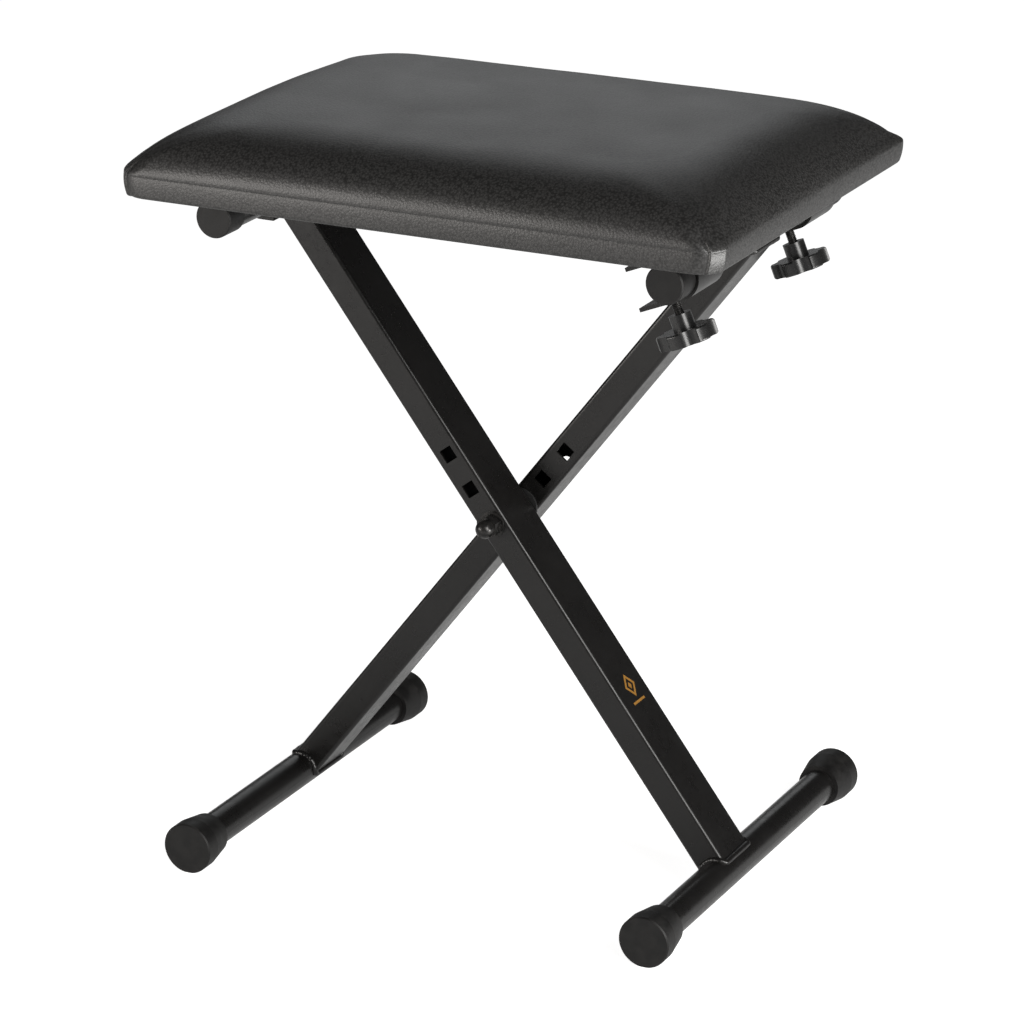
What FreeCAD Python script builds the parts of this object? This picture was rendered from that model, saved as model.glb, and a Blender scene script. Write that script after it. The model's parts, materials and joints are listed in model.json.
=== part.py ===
"""Folding X-frame piano bench: a padded seat on two crossed legs that turn on one bolt.

Units are millimetres. +X points to the sitter's right, +Y to the back and +Z up. The origin is
on the floor under the middle of the seat. The front leg stands on the right foot bar and carries
the left top bar; the rear leg stands on the left foot bar and carries the right top bar. The seat
hangs on the left top bar by two open hooks and is clamped to the right top bar by two straps.
"""
import FreeCAD, Part
import Sketcher
import math
import os
import re
from FreeCAD import Placement, Rotation, Vector

DIMENSIONS = {
    # seat
    "seat_width": 400.0,
    "seat_depth": 302.6,
    "seat_underside": 443.3,
    "board_thickness": 12.0,
    "cover_thickness": 1.0,
    "no_margin": 0.0,
    "foam_margin": 1.15,
    "wrap_margin": 24.0,
    "dust_cover_margin": 24.5,
    "crown_rise_base": 0.0,
    "crown_rise_shoulder": 11.0,
    "crown_rise_roll": 22.0,
    "crown_rise_brow": 30.0,
    "crown_rise_top": 33.5,
    "crown_inset_base": 0.0,
    "crown_inset_shoulder": 0.4,
    "crown_inset_roll": 8.0,
    "crown_inset_brow": 26.0,
    "crown_inset_top": 62.0,
    "crown_corner_base": 16.0,
    "crown_corner_shoulder": 20.0,
    "crown_corner_roll": 27.0,
    "crown_corner_brow": 36.0,
    "crown_corner_top": 48.0,
    # round tubes: two foot bars and two top bars
    "bar_radius": 11.1,
    "bar_wall": 1.5,
    "foot_half_length": 152.3,
    "top_half_length": 123.5,
    # crossed legs
    "leg_width": 20.0,
    "leg_depth": 37.5,
    "leg_corner": 2.5,
    "leg_wall": 1.5,
    "leg_gap": 1.6,
    "front_leg_face": -41.1,
    "pivot_x": 2.3,
    "pivot_height": 227.5,
    "right_foot_x": 160.5,
    "left_foot_x": -161.0,
    "foot_axis_height": 16.5,
    "top_reach": 251.2,
    "hole_spacing": 26.0,
    "square_hole": 9.0,
    "round_hole_radius": 4.4,
    "weld_size": 2.4,
    # rubber end caps
    "foot_cap_radius": 16.8,
    "foot_cap_rim": 14.0,
    "foot_cap_barrel": 11.0,
    "foot_cap_length": 28.0,
    "top_cap_radius": 12.3,
    "top_cap_rim": 12.3,
    "top_cap_barrel": 9.0,
    "top_cap_length": 18.0,
    "cap_floor": 3.0,
    "cap_edge": 0.8,
    # pivot bolt, nuts and washers
    "bolt_radius": 4.0,
    "bolt_flats": 13.0,
    "bolt_head": 5.3,
    "sleeve_play": 0.06,
    "sleeve_radius": 6.5,
    "washer_radius": 8.5,
    "washer_hole": 4.2,
    "washer_thickness": 1.6,
    "nylon_radius": 12.5,
    "pivot_play": 0.15,
    "nut_hex": 7.6,
    "nut_dome_radius": 6.0,
    "nut_neck": 1.6,
    # hooks on the left top bar
    "hook_width": 18.0,
    "hook_centre": 55.0,
    "hook_plate": 3.0,
    "hook_plate_length": 36.0,
    "hook_lip": 9.0,
    # straps on the right top bar
    "strap_width": 37.0,
    "strap_centre": 86.5,
    "strap_gap": 0.45,
    "strap_thickness": 2.5,
    "strap_slope": 22.0,
    "strap_flange": 31.2,
    "cradle_width": 10.0,
    "plate_left": 42.0,
    "plate_right": 36.0,
    # clamp screws, weld nuts and knobs
    "stud_radius": 3.0,
    "stud_offset": 16.4,
    "stud_play": 0.05,
    "stud_hole": 3.5,
    "stud_clearance": 4.5,
    "stud_tip": 0.8,
    "stud_showing": 9.4,
    "clamp_nut_flats": 10.0,
    "clamp_nut_height": 4.6,
    "hub_radius": 7.0,
    "hub_length": 9.5,
    "knob_radius": 18.5,
    "knob_height": 9.0,
    "knob_scallop": 7.5,
    "knob_scallop_reach": 22.5,
    "knob_edge": 1.2,
    "knob_floor": 3.0,
    # screws and staples in the seat board
    "screw_radius": 2.1,
    "screw_head_radius": 4.2,
    "screw_head": 2.2,
    "screw_length": 13.0,
    "screw_pitch": 22.0,
    "screw_slack": 0.2,
    "hook_screw_near": 16.0,
    "hook_screw_far": 29.0,
    "plate_screw_edge": 8.0,
    "staple_crown": 10.0,
    "staple_wire": 0.8,
    "staple_leg": 6.0,
    "staple_spacing": 38.0,
}
LOBES = 6
SPARE_HOLES = 2
STAPLES_LONG_EDGE = range(-4, 5)
STAPLES_SHORT_EDGE = (-3, -1, 0, 1, 3)
LEAST_CUT = 0.5
PARALLEL = 0.999
X_AXIS = Vector(1, 0, 0)
Y_AXIS = Vector(0, 1, 0)
Z_AXIS = Vector(0, 0, 1)

doc = FreeCAD.newDocument("PianoBench")
sheet = doc.addObject("Spreadsheet::Sheet", "Dimensions")
for row, (alias, number) in enumerate(DIMENSIONS.items(), start=1):
    sheet.set("A%d" % row, alias)
    sheet.set("B%d" % row, str(number))
    sheet.setAlias("B%d" % row, alias)
doc.recompute()
subparts = {}


def size(alias):
    """The present value of one named dimension."""
    return float(sheet.get(alias))


def linked(formula):
    """Turn a formula of plain dimension names into one that reads them from the sheet."""
    return re.sub(r"\b([a-z]+(?:_[a-z]+)+)\b", r"Dimensions.\1", formula)


def finish(thing, node, placement=None):
    """Name a finished sub-part, put it in its place and keep it for the export."""
    thing.Label = node
    if placement is not None:
        thing.Placement = placement
    subparts[node] = thing
    return thing


# ---------------------------------------------------------------- Part primitives

def bound(kind, name, placement, formulas):
    """Add a Part object whose properties follow formulas of named dimensions."""
    thing = doc.addObject(kind, name)
    for prop, formula in formulas.items():
        thing.setExpression(prop, linked(formula))
    if placement is not None:
        thing.Placement = placement
    return thing


def cylinder(name, radius, height, placement=None):
    return bound("Part::Cylinder", name, placement, {"Radius": radius, "Height": height})


def cone(name, radius_low, radius_high, height, placement=None):
    formulas = {"Radius1": radius_low, "Radius2": radius_high, "Height": height}
    return bound("Part::Cone", name, placement, formulas)


def hexagon(name, flats, height, placement=None):
    """A hexagonal prism given by its width across flats."""
    formulas = {"Circumradius": "%s / sqrt(3)" % flats, "Height": height}
    prism = bound("Part::Prism", name, placement, formulas)
    prism.Polygon = 6
    return prism


def block(name, corner, lengths):
    """A box from its lowest corner; the corner and the lengths are formulas."""
    formulas = dict(zip(("Length", "Width", "Height"), lengths))
    thing = bound("Part::Box", name, None, formulas)
    for axis, formula in zip("xyz", corner):
        thing.setExpression("Placement.Base.%s" % axis, linked(formula))
    return thing


def cut(name, base, tool):
    thing = doc.addObject("Part::Cut", name)
    thing.Base = base
    thing.Tool = tool
    return thing


def common(name, base, tool):
    thing = doc.addObject("Part::Common", name)
    thing.Base = base
    thing.Tool = tool
    return thing


def fuse(name, pieces):
    thing = doc.addObject("Part::MultiFuse", name)
    thing.Shapes = pieces
    return thing


# ---------------------------------------------------------------- PartDesign helpers

def new_body(name):
    return doc.addObject("PartDesign::Body", name)


def sketch_on(body, role, name, lift=None):
    """A sketch on one of the body's own origin planes, raised along its normal by a formula."""
    plane = next(f for f in body.Origin.OriginFeatures if f.Role == role)
    sketch = body.newObject("Sketcher::SketchObject", name)
    sketch.AttachmentSupport = [(plane, "")]
    sketch.MapMode = "FlatFace"
    if lift:
        sketch.setExpression("AttachmentOffset.Base.z", linked(lift))
    return sketch


def fix_point(sketch, geometry, point, x_formula, y_formula):
    """Tie a sketch point to two formulas measured from the sketch's origin."""
    for kind, formula, axis in (("DistanceX", x_formula, -2), ("DistanceY", y_formula, -1)):
        if formula == "0":
            sketch.addConstraint(Sketcher.Constraint("PointOnObject", geometry, point, axis))
            continue
        rule = sketch.addConstraint(Sketcher.Constraint(kind, -1, 1, geometry, point, 1.0))
        label = "%s%d_%d" % (kind, geometry, point)
        sketch.renameConstraint(rule, label)
        sketch.setExpression("Constraints.%s" % label, linked(formula))


def outline(sketch, corners):
    """Draw a closed polygon whose corners are pairs of formulas."""
    turn = 2 * math.pi / len(corners)
    first = sketch.GeometryCount
    guess = [Vector(20 * math.cos(n * turn), 20 * math.sin(n * turn), 0) for n in range(len(corners))]
    for n, start in enumerate(guess):
        sketch.addGeometry(Part.LineSegment(start, guess[(n + 1) % len(guess)]), False)
    for n in range(len(corners)):
        following = first + (n + 1) % len(corners)
        sketch.addConstraint(Sketcher.Constraint("Coincident", first + n, 2, following, 1))
    for n, (x_formula, y_formula) in enumerate(corners):
        fix_point(sketch, first + n, 1, x_formula, y_formula)


def circle(sketch, radius, x_formula="0", y_formula="0"):
    index = sketch.addGeometry(Part.Circle(Vector(1, 1, 0), Z_AXIS, 5.0), False)
    rule = sketch.addConstraint(Sketcher.Constraint("Radius", index, 5.0))
    sketch.renameConstraint(rule, "radius%d" % index)
    sketch.setExpression("Constraints.radius%d" % index, linked(radius))
    fix_point(sketch, index, 3, x_formula, y_formula)


def rounded_seat_outline(sketch, inset, corner, margin):
    """The seat's outline, drawn in on every side by inset and margin, with rounded corners."""
    drawn_in = size(inset) + size(margin)
    half_width = size("seat_width") / 2 - drawn_in
    half_depth = size("seat_depth") / 2 - drawn_in
    radius = size(corner)
    first = sketch.GeometryCount
    for n, (side, end) in enumerate(((1, 1), (-1, 1), (-1, -1), (1, -1))):
        centre = Vector(side * (half_width - radius), end * (half_depth - radius), 0)
        start = n * math.pi / 2
        arc = Part.ArcOfCircle(Part.Circle(centre, Z_AXIS, radius), start, start + math.pi / 2)
        sketch.addGeometry(arc, False)
    for n in range(4):
        start = sketch.Geometry[first + n].EndPoint
        end = sketch.Geometry[first + (n + 1) % 4].StartPoint
        sketch.addGeometry(Part.LineSegment(start, end), False)
    for n in range(4):
        arc, side, following = first + n, first + 4 + n, first + (n + 1) % 4
        sketch.addConstraint(Sketcher.Constraint("Tangent", arc, 2, side, 1))
        sketch.addConstraint(Sketcher.Constraint("Tangent", side, 2, following, 1))
        sketch.addConstraint(Sketcher.Constraint("Vertical" if n % 2 else "Horizontal", side))
    for n in range(1, 4):
        sketch.addConstraint(Sketcher.Constraint("Equal", first, first + n))
    top, left, bottom, right = range(first + 4, first + 8)
    rules = (
        ("radius", Sketcher.Constraint("Radius", first, radius), corner),
        ("width", Sketcher.Constraint("DistanceX", left, 1, right, 1, 2 * half_width),
         "seat_width - 2 * (%s + %s)" % (inset, margin)),
        ("depth", Sketcher.Constraint("DistanceY", bottom, 1, top, 1, 2 * half_depth),
         "seat_depth - 2 * (%s + %s)" % (inset, margin)),
    )
    for label, constraint, formula in rules:
        rule = sketch.addConstraint(constraint)
        sketch.renameConstraint(rule, label)
        sketch.setExpression("Constraints.%s" % label, linked(formula))
    sketch.addConstraint(Sketcher.Constraint("Symmetric", first, 3, first + 2, 3, -1, 1))


def pad(body, sketch, length, both_ways=False, backwards=False):
    feature = body.newObject("PartDesign::Pad", sketch.Name + "_pad")
    feature.Profile = sketch
    feature.setExpression("Length", linked(length))
    feature.Midplane = both_ways
    feature.Reversed = backwards
    return feature


def pocket(body, sketch, depth, both_ways=False, backwards=False):
    """Cut a sketch out of the body and make sure that something was really cut."""
    doc.recompute()
    before = body.Shape.Volume
    feature = body.newObject("PartDesign::Pocket", sketch.Name + "_pocket")
    feature.Profile = sketch
    feature.setExpression("Length", linked(depth))
    feature.Midplane = both_ways
    feature.Reversed = backwards
    doc.recompute()
    assert body.Shape.Volume < before - LEAST_CUT, "%s cuts nothing" % feature.Name
    return feature


def edges_along(shape, direction):
    """Names of the straight edges parallel to direction."""
    names = []
    for number, edge in enumerate(shape.Edges, start=1):
        straight = isinstance(edge.Curve, Part.Line)
        if straight and abs(edge.Curve.Direction.dot(direction)) > PARALLEL:
            names.append("Edge%d" % number)
    return names


def fillet(body, base, edges, radius):
    feature = body.newObject("PartDesign::Fillet", base.Name + "_fillet")
    feature.Base = (base, edges)
    feature.setExpression("Radius", linked(radius))
    doc.recompute()
    return feature


# ---------------------------------------------------------------- places in the frame

PIVOT = Vector(size("pivot_x"), 0, size("pivot_height"))


def lean(foot_x):
    """How far a leg leans from upright, in degrees; positive leans its top to the right."""
    return math.degrees(math.atan2(PIVOT.x - foot_x, PIVOT.z - size("foot_axis_height")))


def along_leg(foot_x, distance):
    """The point on a leg's axis at a distance above the pivot."""
    angle = math.radians(lean(foot_x))
    return PIVOT + Vector(math.sin(angle), 0, math.cos(angle)) * distance


FRONT_LEAN = lean(size("right_foot_x"))
REAR_LEAN = lean(size("left_foot_x"))
LEFT_TOP = along_leg(size("right_foot_x"), size("top_reach"))
RIGHT_TOP = along_leg(size("left_foot_x"), size("top_reach"))
RIGHT_FOOT = Vector(size("right_foot_x"), 0, size("foot_axis_height"))
LEFT_FOOT = Vector(size("left_foot_x"), 0, size("foot_axis_height"))
FRONT_FACE = size("front_leg_face")
REAR_FACE = FRONT_FACE + size("leg_depth") + size("leg_gap")
TO_BACK = Rotation(X_AXIS, -90)
TO_FRONT = Rotation(X_AXIS, 90)
STRAP_TILT = Rotation(Y_AXIS, -size("strap_slope"))


def leg_place(front):
    """A leg's own frame: origin on the pivot axis at the leg's front face, Z up the leg."""
    base = Vector(PIVOT.x, FRONT_FACE if front else REAR_FACE, PIVOT.z)
    return Placement(base, Rotation(Y_AXIS, FRONT_LEAN if front else REAR_LEAN))


def foot_reach(foot_x):
    """Formula for the distance from the pivot down to a foot bar's axis."""
    return "hypot(%s - pivot_x; pivot_height - foot_axis_height)" % foot_x


# ---------------------------------------------------------------- crossed legs

def leg_tube(node, foot_x, placement):
    """Rectangular tube, coped onto both bars, with a pivot hole and two spare holes above it.

    The holes are square in the front wall and round in the back wall.
    """
    reach = foot_reach(foot_x)
    body = new_body(node + "_body")
    section = sketch_on(body, "XY_Plane", node + "_section", "-(%s)" % reach)
    outline(section, [("-leg_width / 2", "0"), ("leg_width / 2", "0"),
                      ("leg_width / 2", "leg_depth"), ("-leg_width / 2", "leg_depth")])
    tube = pad(body, section, "top_reach + %s" % reach)
    doc.recompute()
    fillet(body, tube, edges_along(tube.Shape, Z_AXIS), "leg_corner")
    bore = sketch_on(body, "XY_Plane", node + "_bore", "-(%s)" % reach)
    side = "leg_width / 2 - leg_wall"
    outline(bore, [("-(%s)" % side, "leg_wall"), (side, "leg_wall"),
                   (side, "leg_depth - leg_wall"), ("-(%s)" % side, "leg_depth - leg_wall")])
    pocket(body, bore, "top_reach + %s" % reach, backwards=True)
    copes = sketch_on(body, "XZ_Plane", node + "_copes", "-leg_depth / 2")
    circle(copes, "bar_radius", "0", "top_reach")
    circle(copes, "bar_radius", "0", "-(%s)" % reach)
    pocket(body, copes, "leg_depth * 2", both_ways=True)
    half = "square_hole / 2"
    squares = sketch_on(body, "XZ_Plane", node + "_squares")
    rounds = sketch_on(body, "XZ_Plane", node + "_rounds", "-leg_depth")
    for n in range(SPARE_HOLES + 1):
        height = "%d * hole_spacing" % n
        low, high = "%s - %s" % (height, half), "%s + %s" % (height, half)
        outline(squares, [("-%s" % half, low), (half, low), (half, high), ("-%s" % half, high)])
        circle(rounds, "round_hole_radius", "0", height if n else "0")
    pocket(body, squares, "leg_wall * 2", both_ways=True)
    pocket(body, rounds, "leg_wall * 2", both_ways=True)
    finish(body, node, placement)


def leg_welds(node, foot_x, placement):
    """A bead of weld round each end of a leg, between the leg's walls and the bar."""
    beads = []
    for end, height, skirt in (("top", "top_reach", "top_reach - bar_radius - weld_size"),
                               ("foot", "-(%s)" % foot_reach(foot_x), "-(%s)" % foot_reach(foot_x))):
        name = "%s_%s" % (node, end)
        low = ["-leg_width / 2 - weld_size", "-weld_size", skirt]
        lengths = ["leg_width + 2 * weld_size", "leg_depth + 2 * weld_size", "bar_radius + weld_size"]
        collar = block(name + "_collar", low, lengths)
        ring = cylinder(name + "_ring", "bar_radius + weld_size", "leg_depth * 2", None)
        ring.Placement = Placement(Vector(0, -size("leg_depth") / 2, 0), TO_BACK)
        ring.setExpression("Placement.Base.z", linked(height))
        bead = common(name + "_bead", collar, ring)
        bar = cylinder(name + "_bar", "bar_radius", "leg_depth * 2", None)
        bar.Placement = Placement(Vector(0, -size("leg_depth") / 2, 0), TO_BACK)
        bar.setExpression("Placement.Base.z", linked(height))
        leg = block(name + "_leg", ["-leg_width / 2", "0", low[2]],
                    ["leg_width", "leg_depth", lengths[2]])
        beads.append(cut(name, bead, fuse(name + "_inside", [bar, leg])))
    finish(fuse(node + "_pair", beads), node, placement)


def sleeve(node, front):
    """Steel sleeve round the bolt inside a leg, so that tightening does not crush the tube."""
    face = FRONT_FACE if front else REAR_FACE
    base = Vector(PIVOT.x, face + size("leg_wall"), PIVOT.z)
    length = "leg_depth - 2 * leg_wall"
    outside = cylinder(node + "_outside", "sleeve_radius", length)
    inside = cylinder(node + "_inside", "bolt_radius + sleeve_play", length)
    finish(cut(node + "_tube", outside, inside), node, Placement(base, TO_BACK))


# ---------------------------------------------------------------- bars and end caps

def bar(node, axis_point, half_length):
    """Round tube along Y, closed at each end by a cap that it pushes into."""
    body = new_body(node + "_body")
    section = sketch_on(body, "XZ_Plane", node + "_section")
    circle(section, "bar_radius")
    circle(section, "bar_radius - bar_wall")
    pad(body, section, "2 * (%s - cap_floor)" % half_length, both_ways=True)
    finish(body, node, Placement(axis_point, Rotation()))


def end_cap(node, kind, axis_point, back):
    """Rubber cup over the end of a bar, turned about its own Z, which runs into the bar.

    A foot cap has a narrow flat underneath, level with the floor.
    """
    body = new_body(node + "_body")
    profile = sketch_on(body, "XZ_Plane", node + "_profile")
    radius, rim, barrel, length = ["%s_cap_%s" % (kind, word) for word in
                                   ("radius", "rim", "barrel", "length")]
    outline(profile, [("0", "0"), ("%s - cap_edge" % radius, "0"), (radius, "cap_edge"),
                      (radius, barrel), (rim, length), ("bar_radius", length),
                      ("bar_radius", "cap_floor"), ("0", "cap_floor")])
    turned = body.newObject("PartDesign::Revolution", node + "_turned")
    turned.Profile = profile
    turned.ReferenceAxis = (profile, ["V_Axis"])
    turned.Angle = 360
    if kind == "foot":
        flat = sketch_on(body, "XY_Plane", node + "_flat")
        low = "-2 * foot_cap_radius"
        outline(flat, [("-foot_cap_radius", low), ("foot_cap_radius", low),
                       ("foot_cap_radius", "-foot_axis_height"),
                       ("-foot_cap_radius", "-foot_axis_height")])
        pocket(body, flat, "2 * foot_cap_length", both_ways=True)
    half_length = size(kind + "_half_length")
    inward = -Y_AXIS if back else Y_AXIS
    turn = Rotation(Z_AXIS.cross(inward), Z_AXIS, inward, "ZYX")
    finish(body, node, Placement(axis_point - inward * half_length, turn))


# ---------------------------------------------------------------- pivot bolt

def pivot_fastening():
    """Hex bolt through both legs from the back, with a cap nut on the front."""
    nut_seat = FRONT_FACE - size("pivot_play") - size("washer_thickness")
    head_seat = REAR_FACE + size("leg_depth") + size("washer_thickness")
    length = head_seat - nut_seat
    shank = cylinder("pivot_shank", "bolt_radius",
                     "2 * leg_depth + leg_gap + pivot_play + 2 * washer_thickness + nut_hex")
    head = hexagon("pivot_head", "bolt_flats", "bolt_head")
    head.setExpression("Placement.Base.z", "-Dimensions.bolt_head")
    finish(fuse("pivot_bolt_form", [shank, head]), "pivot_bolt",
           Placement(Vector(PIVOT.x, nut_seat + length, PIVOT.z), TO_FRONT))
    washers = (
        ("pivot_bolt_washer", "washer_radius", "washer_thickness", REAR_FACE + size("leg_depth")),
        ("cap_nut_washer", "washer_radius", "washer_thickness", nut_seat),
        ("pivot_spacer_washer", "nylon_radius", "leg_gap - pivot_play",
         REAR_FACE - size("leg_gap") + size("pivot_play")),
    )
    for node, radius, thickness, front in washers:
        disc = cylinder(node + "_disc", radius, thickness)
        hole = cylinder(node + "_hole", "washer_hole", thickness)
        finish(cut(node + "_ring", disc, hole), node,
               Placement(Vector(PIVOT.x, front, PIVOT.z), TO_BACK))
    hexed = hexagon("cap_nut_hex", "bolt_flats", "nut_hex")
    neck = cylinder("cap_nut_neck", "nut_dome_radius", "nut_neck + nut_hex")
    dome = bound("Part::Sphere", "cap_nut_dome", None, {"Radius": "nut_dome_radius"})
    dome.setExpression("Placement.Base.z", linked("nut_hex + nut_neck"))
    thread = cylinder("cap_nut_thread", "bolt_radius", "nut_hex")
    finish(cut("cap_nut_form", fuse("cap_nut_solid", [hexed, neck, dome]), thread), "cap_nut",
           Placement(Vector(PIVOT.x, nut_seat, PIVOT.z), TO_FRONT * Rotation(Z_AXIS, 30)))


# ---------------------------------------------------------------- seat

def cushion_form(name, margin, with_band):
    """The padded seat's form: an upright band round the board, then a crowned top.

    margin draws the whole form in on every side and lowers its top.
    """
    body = new_body(name)
    board_top = "seat_underside + cover_thickness + board_thickness"
    if with_band:
        band = sketch_on(body, "XY_Plane", name + "_band", "seat_underside + %s" % margin)
        rounded_seat_outline(band, "crown_inset_base", "crown_corner_base", margin)
        pad(body, band, "cover_thickness + board_thickness - %s" % margin)
    levels = []
    for word in ("base", "shoulder", "roll", "brow", "top"):
        rise = "%s + crown_rise_%s" % (board_top, word)
        if word != "base":
            rise += " - %s" % margin
        level = sketch_on(body, "XY_Plane", "%s_%s" % (name, word), rise)
        rounded_seat_outline(level, "crown_inset_" + word, "crown_corner_" + word, margin)
        levels.append(level)
    crown = body.newObject("PartDesign::AdditiveLoft", name + "_crown")
    crown.Profile = levels[0]
    crown.Sections = levels[1:]
    crown.Ruled = False
    return body


def slab(name, margin, bottom, thickness):
    """A flat sheet with the seat's outline, drawn in by margin."""
    body = new_body(name)
    section = sketch_on(body, "XY_Plane", name + "_section", bottom)
    rounded_seat_outline(section, "crown_inset_base", "crown_corner_base", margin)
    pad(body, section, thickness)
    return body


def seat_pieces():
    """Plywood board, foam on top, a cover over both with its hem turned under, and a lining."""
    board = slab("board_form", "cover_thickness", "seat_underside + cover_thickness",
                 "board_thickness")
    finish(board, "seat_board")
    finish(cushion_form("foam_form", "foam_margin", False), "foam_pad")
    outer = cushion_form("cover_outside", "no_margin", True)
    inner = cushion_form("cover_inside", "cover_thickness", True)
    mouth = slab("cover_mouth", "wrap_margin", "seat_underside - cover_thickness",
                 "3 * cover_thickness")
    finish(cut("cover_skin", cut("cover_hollow", outer, inner), mouth), "seat_cover")
    lining = slab("lining_form", "dust_cover_margin", "seat_underside", "cover_thickness")
    finish(lining, "dust_cover")


def staple_places():
    """Where the staples go: one row along each edge of the turned-in hem."""
    inset = size("wrap_margin") - size("staple_crown")
    reach_x = size("seat_width") / 2 - inset
    reach_y = size("seat_depth") / 2 - inset
    step = size("staple_spacing")
    for side in (-1, 1):
        for n in STAPLES_LONG_EDGE:
            yield Vector(n * step, side * reach_y, size("seat_underside")), 0
        for n in STAPLES_SHORT_EDGE:
            yield Vector(side * reach_x, n * step, size("seat_underside")), 90


def staples():
    """Wire staples, all alike, driven up through the hem into the board."""
    wire, crown, leg = size("staple_wire"), size("staple_crown"), size("staple_leg")
    bridge = Part.makeBox(crown, wire, wire, Vector(-crown / 2, -wire / 2, -wire))
    legs = [Part.makeBox(wire, wire, leg, Vector(x, -wire / 2, 0))
            for x in (-crown / 2, crown / 2 - wire)]
    one = bridge.fuse(legs).removeSplitter()
    repeated("cover_staples", one, [Placement(place, Rotation(Z_AXIS, turn))
                                    for place, turn in staple_places()])


def repeated(node, one, placements):
    """One node that holds a separate solid at each placement."""
    copies = []
    for placement in placements:
        copy = one.copy()
        copy.Placement = placement
        copies.append(copy)
    group = doc.addObject("Part::Feature", node + "_group")
    group.Shape = Part.makeCompound(copies)
    finish(group, node)


# ---------------------------------------------------------------- brackets under the seat

HOOK_INSIDE = "(seat_underside - hook_plate - %.4f)" % LEFT_TOP.z
STRAP_INSIDE = "(bar_radius + strap_gap)"
STRAP_OUTSIDE = "(bar_radius + strap_gap + strap_thickness)"
STRAP_OUTER_RADIUS = size("bar_radius") + size("strap_gap") + size("strap_thickness")
PLATE_FACE = RIGHT_TOP.z + STRAP_OUTER_RADIUS


def beside(axis_point, centre, width, back):
    """The front end of a bracket of a given width, on a bar's axis."""
    side = 1 if back else -1
    return axis_point + Y_AXIS * (side * size(centre) - size(width) / 2)


def screw_places():
    """Every bracket screw: the point where its head is flush with the plate's lower face."""
    half = size("screw_pitch") / 2
    for side in (-1, 1):
        for x in (size("hook_screw_near"), size("hook_screw_far")):
            yield Vector(LEFT_TOP.x + x, side * size("hook_centre"),
                         size("seat_underside") - size("hook_plate"))
        edge = size("plate_screw_edge")
        for x in (edge - size("plate_left"), size("plate_right") - edge):
            for y in (-half, half):
                yield Vector(RIGHT_TOP.x + x, side * size("strap_centre") + y, PLATE_FACE)


def screws():
    """Countersunk wood screws, all alike, from the brackets up into the board."""
    radius, head = size("screw_radius"), size("screw_head")
    sink = Part.makeCone(size("screw_head_radius"), radius, head)
    shank = Part.makeCylinder(radius, size("screw_length") - head, Vector(0, 0, head))
    one = sink.fuse(shank).removeSplitter()
    repeated("bracket_screws", one, [Placement(place, Rotation()) for place in screw_places()])


def screw_holes():
    """Countersunk holes for the bracket screws, as one tool for cutting the plates."""
    tools = []
    for n, place in enumerate(screw_places()):
        hole = cylinder("screw_hole_%d" % n, "screw_radius + screw_slack", "screw_length",
                        Placement(place - Z_AXIS, Rotation()))
        sink = cone("screw_sink_%d" % n, "screw_head_radius + screw_slack",
                    "screw_radius + screw_slack", "screw_head", Placement(place, Rotation()))
        tools += [hole, sink]
    return fuse("screw_hole_tool", tools)


def hook(node, back, holes):
    """Hook: a flat plate under the board, bent down round the bar and open towards the middle."""
    start = beside(LEFT_TOP, "hook_centre", "hook_width", back)
    outside = HOOK_INSIDE + " + hook_plate"
    bend = cylinder(node + "_bend", outside, "hook_width",
                    Placement(start, TO_BACK * Rotation(Z_AXIS, 90)))
    bend.Angle = 180
    at = ["%.4f" % value for value in start]
    plate = block(node + "_plate", [at[0], at[1], "%s + %s" % (at[2], HOOK_INSIDE)],
                  ["hook_plate_length", "hook_width", "hook_plate"])
    lip = block(node + "_lip", [at[0], at[1], "%s - (%s)" % (at[2], outside)],
                ["hook_lip", "hook_width", "hook_plate"])
    hollow = cylinder(node + "_hollow", HOOK_INSIDE, "hook_width", Placement(start, TO_BACK))
    strip = cut(node + "_strip", fuse(node + "_parts", [bend, plate, lip]), hollow)
    finish(cut(node + "_drilled", strip, holes), node)


def clamp_plate(node, back, holes):
    """Plate under the board with a shallow cradle in which the strap is welded."""
    start = beside(RIGHT_TOP, "strap_centre", "strap_width", back)
    at = ["%.4f" % value for value in start]
    plate = block(node + "_flat", ["%s - plate_left" % at[0], at[1], "%.4f" % PLATE_FACE],
                  ["plate_left + plate_right", "strap_width",
                   "seat_underside - %.4f" % PLATE_FACE])
    drop = "(%s - sqrt(%s^2 - cradle_width^2 / 4))" % (STRAP_OUTSIDE, STRAP_OUTSIDE)
    cradle = block(node + "_cradle",
                   ["%s - cradle_width / 2" % at[0], at[1], "%.4f - %s" % (PLATE_FACE, drop)],
                   ["cradle_width", "strap_width", drop])
    seat = cylinder(node + "_seat", STRAP_OUTSIDE, "strap_width", Placement(start, TO_BACK))
    across = start + Y_AXIS * (size("strap_width") / 2)
    foot = across - STRAP_TILT.multVec(X_AXIS) * size("stud_offset")
    stud_way = cylinder(node + "_stud_way", "stud_clearance", "strap_width",
                        Placement(foot, STRAP_TILT))
    solid = fuse(node + "_solid", [plate, cradle])
    tool = fuse(node + "_tool", [seat, stud_way, holes])
    finish(cut(node + "_cut", solid, tool), node)


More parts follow.
